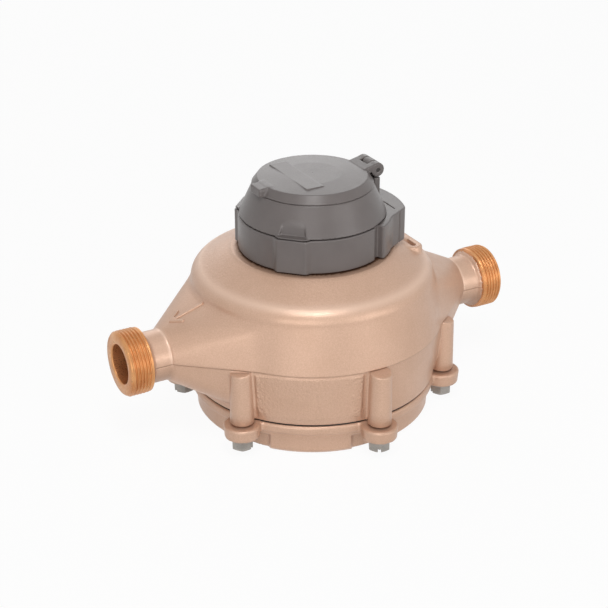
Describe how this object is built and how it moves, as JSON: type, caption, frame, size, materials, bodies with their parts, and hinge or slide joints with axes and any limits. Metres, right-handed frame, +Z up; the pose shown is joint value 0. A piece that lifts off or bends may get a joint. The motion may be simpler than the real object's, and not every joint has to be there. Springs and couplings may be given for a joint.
{
  "type": "water meter",
  "caption": "Cast bronze disc water meter with threaded spuds, bolted round bottom plate, nutating-disc chamber and grey register under a hinged lid, for measuring water in a pipe.",
  "frame": {"origin": "centre of the bottom face", "axes": "+X along the flow axis towards the inlet spud, +Z up"},
  "size_m": [0.273, 0.1948, 0.1611],
  "materials": {
    "cast_bronze": "as cast, fine sand texture",
    "black_rubber": "matt",
    "steel": "plain steel",
    "chamber_plastic": "moulded",
    "pale_plastic": "moulded",
    "magnet": "sintered, dark",
    "disc_plastic": "hard rubber",
    "grey_plastic": "fine moulded grain",
    "copper_can": "drawn",
    "clear_glass": "clear",
    "dial_white": "printed",
    "red_plastic": "painted",
    "wheel_black": "moulded"
  },
  "bodies": {
    "case": {"main_case": "cast_bronze", "bottom_gasket": "black_rubber", "bottom_plate": "cast_bronze", "case_bolts": "steel", "chamber_lower": "chamber_plastic", "chamber_upper": "chamber_plastic", "division_plate": "steel", "outlet_seal": "black_rubber", "strainer": "pale_plastic", "drive_cover": "chamber_plastic", "register_housing": "grey_plastic", "hinge_pin": "steel", "register_can": "copper_can", "lens_gasket_ring": "black_rubber", "register_lens": "clear_glass", "register_movement": "pale_plastic", "dial_face": "dial_white", "wheel_axle": "steel"},
    "drive": {"magnet_carrier": "pale_plastic", "drive_magnet": "magnet"},
    "disc": {"nutating_disc": "disc_plastic", "disc_spindle": "steel"},
    "follower": {"follower_magnet": "magnet", "follower_spindle": "steel"},
    "hand": {"sweep_hand": "red_plastic"},
    "indicator": {"flow_indicator": "red_plastic"},
    "wheel_1": {"number_wheel_1": "wheel_black"},
    "wheel_2": {"number_wheel_2": "wheel_black"},
    "wheel_3": {"number_wheel_3": "wheel_black"},
    "wheel_4": {"number_wheel_4": "wheel_black"},
    "wheel_5": {"number_wheel_5": "wheel_black"},
    "wheel_6": {"number_wheel_6": "wheel_black"},
    "lid": {"register_lid": "grey_plastic"}
  },
  "joints": [
    {"name": "lid_hinge", "type": "hinge", "parent": "case", "child": "lid", "pos_m": [0.0422, 0, 0.1565], "axis": [0, 1, 0], "range_deg": [0, 105]},
    {"name": "drive_spin", "type": "hinge", "parent": "case", "child": "drive", "pos_m": [0, 0, 0.0975], "axis": [0, 0, 1], "continuous": true},
    {"name": "disc_spin", "type": "hinge", "parent": "drive", "child": "disc", "pos_m": [0, 0, 0.0587], "axis": [0.225, 0, 0.9744], "continuous": true},
    {"name": "follower_spin", "type": "hinge", "parent": "case", "child": "follower", "pos_m": [0, 0, 0.118], "axis": [0, 0, 1], "continuous": true},
    {"name": "indicator_spin", "type": "hinge", "parent": "case", "child": "indicator", "pos_m": [-0.01716, -0.01188, 0.1255], "axis": [0, 0, 1], "continuous": true},
    {"name": "hand_spin", "type": "hinge", "parent": "case", "child": "hand", "pos_m": [0, 0, 0.1255], "axis": [0, 0, 1], "continuous": true},
    {"name": "wheel_1_spin", "type": "hinge", "parent": "case", "child": "wheel_1", "pos_m": [0.019, 0.0125, 0.121], "axis": [0, 1, 0], "continuous": true},
    {"name": "wheel_2_spin", "type": "hinge", "parent": "case", "child": "wheel_2", "pos_m": [0.019, 0.0075, 0.121], "axis": [0, 1, 0], "continuous": true},
    {"name": "wheel_3_spin", "type": "hinge", "parent": "case", "child": "wheel_3", "pos_m": [0.019, 0.0025, 0.121], "axis": [0, 1, 0], "continuous": true},
    {"name": "wheel_4_spin", "type": "hinge", "parent": "case", "child": "wheel_4", "pos_m": [0.019, -0.0025, 0.121], "axis": [0, 1, 0], "continuous": true},
    {"name": "wheel_5_spin", "type": "hinge", "parent": "case", "child": "wheel_5", "pos_m": [0.019, -0.0075, 0.121], "axis": [0, 1, 0], "continuous": true},
    {"name": "wheel_6_spin", "type": "hinge", "parent": "case", "child": "wheel_6", "pos_m": [0.019, -0.0125, 0.121], "axis": [0, 1, 0], "continuous": true}
  ],
  "couplings": [
    {"joint": "disc_spin", "follows": "drive_spin", "ratio": -1},
    {"joint": "follower_spin", "follows": "drive_spin", "ratio": 1},
    {"joint": "indicator_spin", "follows": "drive_spin", "ratio": -0.25},
    {"joint": "hand_spin", "follows": "drive_spin", "ratio": -0.0027778},
    {"joint": "wheel_1_spin", "follows": "drive_spin", "ratio": 0.0000000027778},
    {"joint": "wheel_2_spin", "follows": "drive_spin", "ratio": 0.000000027778},
    {"joint": "wheel_3_spin", "follows": "drive_spin", "ratio": 0.00000027778},
    {"joint": "wheel_4_spin", "follows": "drive_spin", "ratio": 0.0000027778},
    {"joint": "wheel_5_spin", "follows": "drive_spin", "ratio": 0.000027778},
    {"joint": "wheel_6_spin", "follows": "drive_spin", "ratio": 0.00027778}
  ]
}
